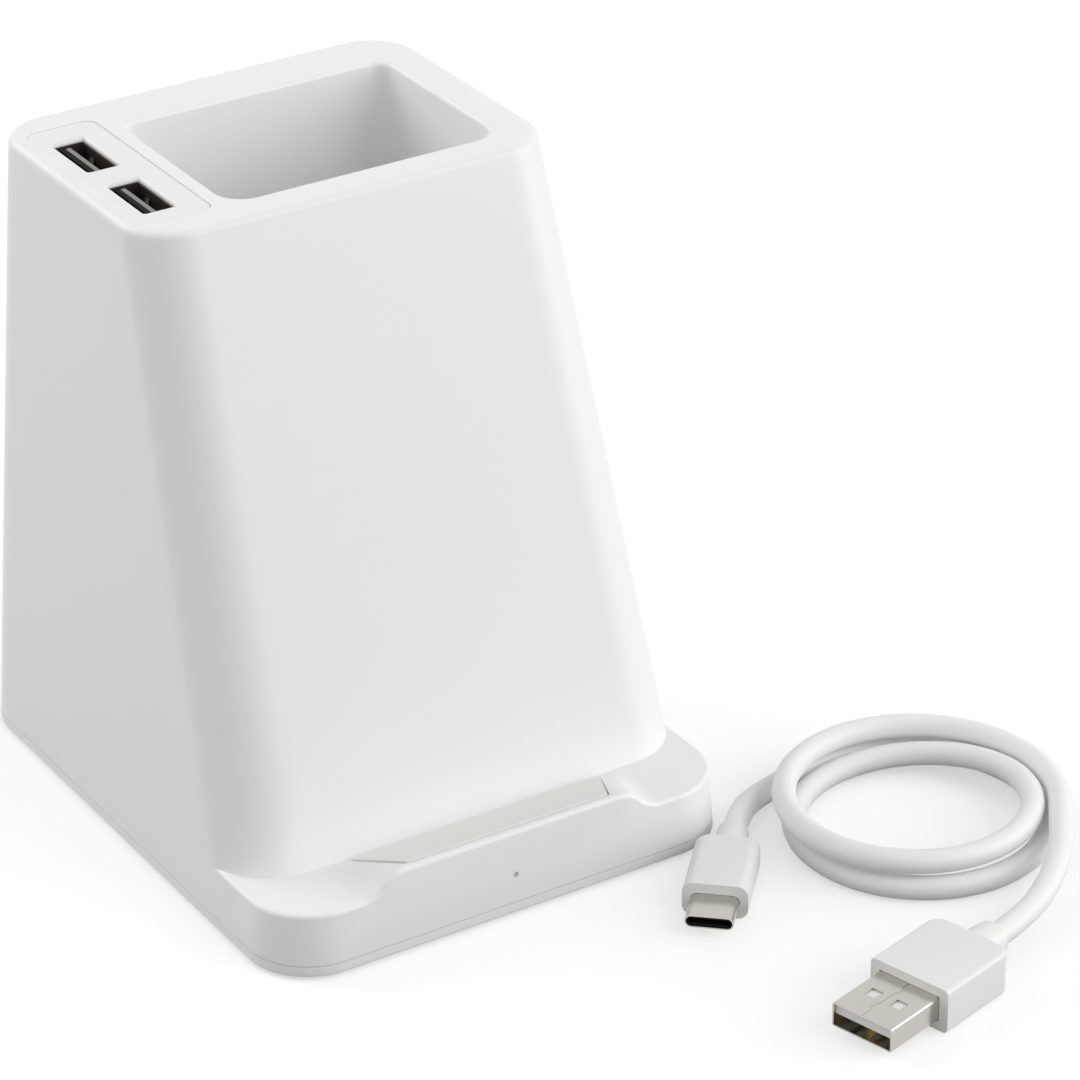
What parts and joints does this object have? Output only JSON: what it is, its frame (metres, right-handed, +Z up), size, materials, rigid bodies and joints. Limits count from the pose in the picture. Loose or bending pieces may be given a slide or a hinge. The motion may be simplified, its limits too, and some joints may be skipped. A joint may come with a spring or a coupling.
{
  "type": "wireless charger pen holder",
  "caption": "Desk pen holder with a reclined wireless charging face, a phone ledge, USB-A ports in the top and a loose coiled charge cable",
  "frame": {"origin": "on the desk, under the middle of the holder's footprint", "axes": "X to the right seen from the front, +Y to the back, +Z up; the front with the phone ledge faces -Y"},
  "size_m": [0.1412, 0.1801, 0.114],
  "materials": {
    "shell_white": "satin moulded ABS",
    "panel_white": "fine matte ABS",
    "strip_rubber": "matte silicone",
    "feet_rubber": "matte rubber",
    "steel": "zinc-plated steel",
    "nickel": "nickel-plated sheet",
    "port_black": "black moulded carrier",
    "port_plate": "light grey moulded plate",
    "gold": "gold-plated contacts",
    "board": "green solder mask",
    "chip": "black moulded package",
    "inductor": "dark moulded ferrite",
    "capacitor": "aluminium can",
    "copper": "enamelled copper wire",
    "ferrite": "dark sintered ferrite",
    "bracket": "natural ABS",
    "light_pipe": "clear polycarbonate",
    "led": "white package with a clear lens",
    "wire_red": "PVC insulation",
    "cable_white": "soft white TPE jacket",
    "plug_white": "satin white overmold",
    "plug_insert": "white moulded contact carrier"
  },
  "bodies": {
    "holder": {"outer_shell": "shell_white", "base_plate": "shell_white", "rubber_feet": "feet_rubber", "base_screws": "steel", "ledge_grip_strip": "strip_rubber", "usb_port_panel": "panel_white", "usb_panel_screws": "steel", "usb_output_board": "board", "usb_board_screws": "steel", "main_board": "board", "main_board_screws": "steel", "charge_controller_chip": "chip", "board_inductors": "inductor", "board_capacitors": "capacitor", "status_led": "led", "led_light_pipe": "light_pipe", "usb_c_inlet_shell": "nickel", "usb_c_inlet_tongue": "port_black", "charging_coil": "copper", "charging_coil_leads": "copper", "ferrite_sheet": "ferrite", "coil_bracket": "bracket", "coil_bracket_screws": "steel", "usb_power_leads": "wire_red", "usb_a_port_front_shell": "nickel", "usb_a_port_front_tongue": "port_black", "usb_a_port_front_plate": "port_plate", "usb_a_port_front_contacts": "gold", "usb_a_port_rear_shell": "nickel", "usb_a_port_rear_tongue": "port_black", "usb_a_port_rear_plate": "port_plate", "usb_a_port_rear_contacts": "gold"},
    "charge_cable": {"cable_coil": "cable_white", "cable_usb_a_lead": "cable_white", "cable_usb_c_lead": "cable_white", "usb_a_plug_overmold": "plug_white", "usb_a_plug_shell": "nickel", "usb_a_plug_insert": "plug_insert", "usb_a_plug_contacts": "gold", "usb_c_plug_overmold": "plug_white", "usb_c_plug_shell": "nickel", "usb_c_plug_liner": "port_black"}
  },
  "joints": [
    {"name": "cable_lift", "type": "slide", "parent": "holder", "child": "charge_cable", "axis": [0, 0, 1], "range_m": [0, 0.15]}
  ]
}
